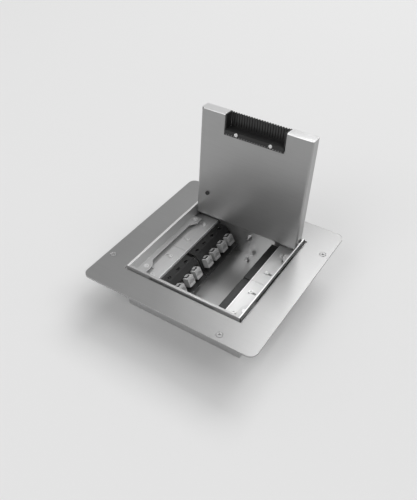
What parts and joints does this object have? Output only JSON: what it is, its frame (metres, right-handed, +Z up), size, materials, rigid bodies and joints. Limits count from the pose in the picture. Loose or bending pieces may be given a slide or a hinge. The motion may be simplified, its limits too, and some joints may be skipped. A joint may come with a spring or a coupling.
{
  "type": "floor socket box",
  "caption": "Steel floor socket box with square trim flange, levelling frame, hinged tray lid with a cable comb, and tilted data jacks on carriers along both sides of an open well",
  "frame": {"origin": "centre of the opening, on the top face of the trim flange, level with the finished floor", "axes": "+Z up, +Y towards the hinge side, +X to the right when the hinge is at the back"},
  "size_m": [0.3, 0.3, 0.2634],
  "materials": {
    "bright_fastener": "bright zinc-plated fasteners",
    "brushed_trim": "fine brushed stainless steel",
    "carrier_black": "black powder coat",
    "comb_rubber": "flexible black comb",
    "contact_metal": "spring contacts",
    "earth_brass": "plain brass studs and nuts",
    "frame_steel": "satin zinc-plated folded sheet",
    "grommet_rubber": "soft black rubber",
    "jack_plastic": "light grey moulded plastic",
    "lid_steel": "satin folded sheet",
    "outlet_plastic": "black moulded plastic",
    "plug_plastic": "mid grey moulded plastic"
  },
  "bodies": {
    "box": {"box_base": "frame_steel", "box_rim": "frame_steel", "box_side_left": "frame_steel", "box_side_right": "frame_steel", "cable_entry_grommets": "grommet_rubber", "conduit_knockouts": "frame_steel", "data_jacks_left_back": "jack_plastic", "data_jacks_left_front": "jack_plastic", "data_jacks_right_back": "jack_plastic", "data_jacks_right_front": "jack_plastic", "earth_nuts": "earth_brass", "earth_studs": "earth_brass", "flange_screws": "bright_fastener", "flange_weld_nuts": "bright_fastener", "jack_contacts_left_back": "contact_metal", "jack_contacts_left_front": "contact_metal", "jack_contacts_right_back": "contact_metal", "jack_contacts_right_front": "contact_metal", "jack_terminals_left_back": "jack_plastic", "jack_terminals_left_front": "jack_plastic", "jack_terminals_right_back": "jack_plastic", "jack_terminals_right_front": "jack_plastic", "levelling_nuts": "bright_fastener", "mounting_plate_left_back": "frame_steel", "mounting_plate_left_front": "frame_steel", "mounting_plate_right_back": "frame_steel", "mounting_plate_right_front": "frame_steel", "plate_screws": "bright_fastener", "port_dust_plugs_left_back": "plug_plastic", "port_dust_plugs_left_front": "plug_plastic", "port_dust_plugs_right_back": "plug_plastic", "port_dust_plugs_right_front": "plug_plastic", "socket_carrier_left_back": "carrier_black", "socket_carrier_left_front": "carrier_black", "socket_carrier_right_back": "carrier_black", "socket_carrier_right_front": "carrier_black", "support_rail_left": "frame_steel", "support_rail_right": "frame_steel", "trim_flange": "brushed_trim"},
    "frame": {"levelling_frame": "frame_steel", "frame_corner_angles_front": "frame_steel", "frame_corner_angle_rear_right": "frame_steel", "frame_corner_angle_rear_left": "frame_steel", "levelling_screws": "bright_fastener", "hinge_pins": "bright_fastener", "hinge_washers": "bright_fastener"},
    "lid": {"lid_tray": "lid_steel", "lid_stiffening_plate": "lid_steel", "outlet_housing": "outlet_plastic", "cable_comb": "comb_rubber", "clamp_bar": "outlet_plastic", "clamp_screws": "bright_fastener", "lid_earth_screw": "bright_fastener", "lid_earth_nut": "bright_fastener"}
  },
  "joints": [
    {"name": "frame_level", "type": "slide", "parent": "box", "child": "frame", "axis": [0, 0, 1], "range_m": [-0.0045, 0.006]},
    {"name": "lid_hinge", "type": "hinge", "parent": "frame", "child": "lid", "pos_m": [0, 0.0931, -0.0041], "axis": [1, 0, 0], "range_deg": [0, 95.5]}
  ]
}
